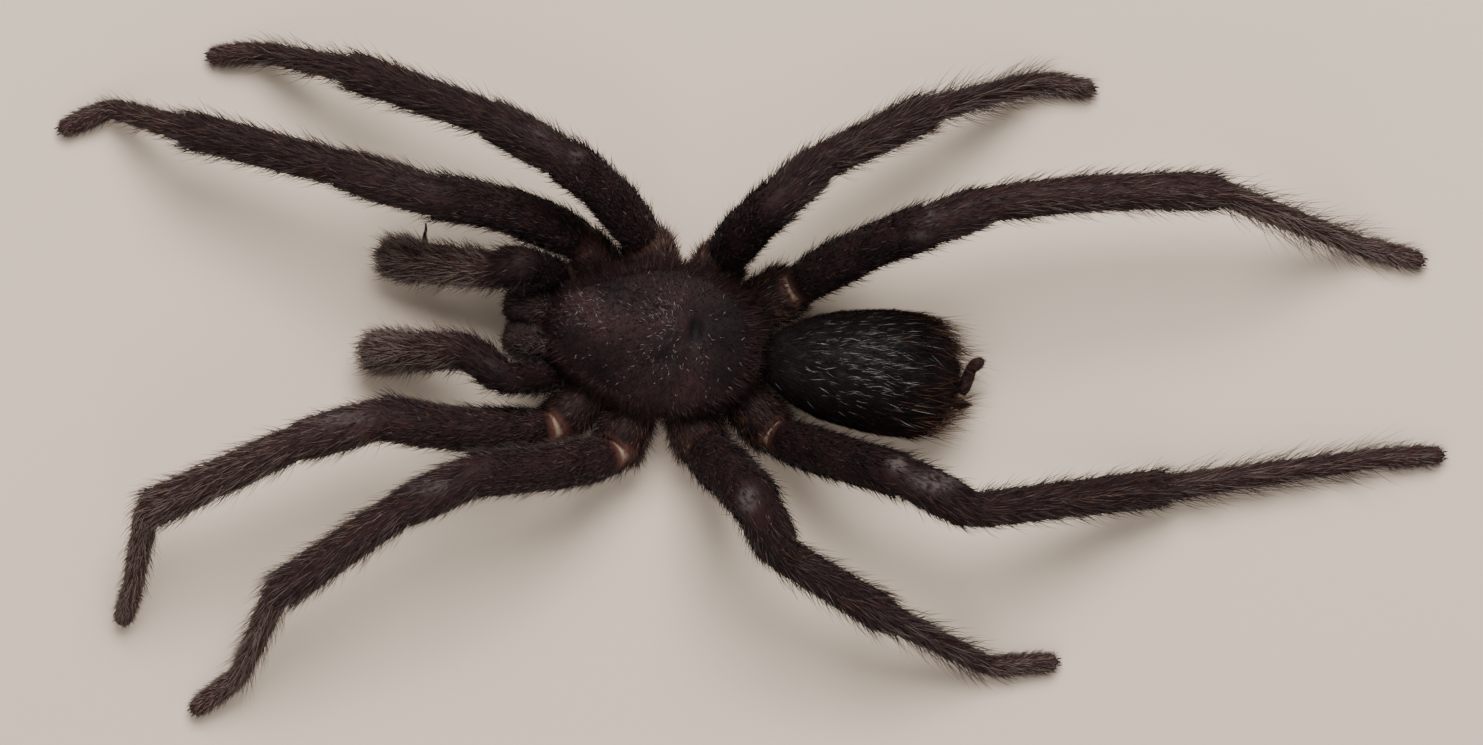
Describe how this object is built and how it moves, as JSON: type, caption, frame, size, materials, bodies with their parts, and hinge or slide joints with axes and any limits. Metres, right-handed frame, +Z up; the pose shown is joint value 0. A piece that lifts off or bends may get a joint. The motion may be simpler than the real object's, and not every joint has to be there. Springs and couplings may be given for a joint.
{
  "type": "tarantula specimen",
  "caption": "Dry adult male tarantula lying belly down with its hairy legs and palps spread wide, domed back shield and egg-shaped abdomen.",
  "frame": {"origin": "middle of the whole leg spread, on the flat plane that the abdomen and the leg tips rest on", "axes": "+X towards the tail end, +Y towards the spider's own right side, +Z up"},
  "size_m": [0.0908, 0.044, 0.0134],
  "materials": {
    "back shield": "satin shell with short fine hair",
    "chest plate": "satin shell",
    "abdomen hair": "hairy, long silvery-tipped hairs",
    "jaw hair": "hairy",
    "dark shell": "glossy bare shell",
    "spinneret hair": "hairy",
    "leg hair": "hairy, brown, paler towards the tips"
  },
  "bodies": {
    "root": {"cephalothorax": "back shield", "sternum": "chest plate", "abdomen": "abdomen hair", "chelicera_right": "jaw hair", "chelicera_left": "jaw hair", "fang_right": "dark shell", "fang_left": "dark shell", "spinneret_right": "spinneret hair", "spinneret_left": "spinneret hair", "palp_bulb_right": "dark shell", "palp_bulb_left": "dark shell", "palp_right": "leg hair", "palp_left": "leg hair", "leg_1_right": "leg hair", "leg_2_right": "leg hair", "leg_3_right": "leg hair", "leg_4_right": "leg hair", "leg_1_left": "leg hair", "leg_2_left": "leg hair", "leg_3_left": "leg hair", "leg_4_left": "leg hair"}
  },
  "joints": []
}
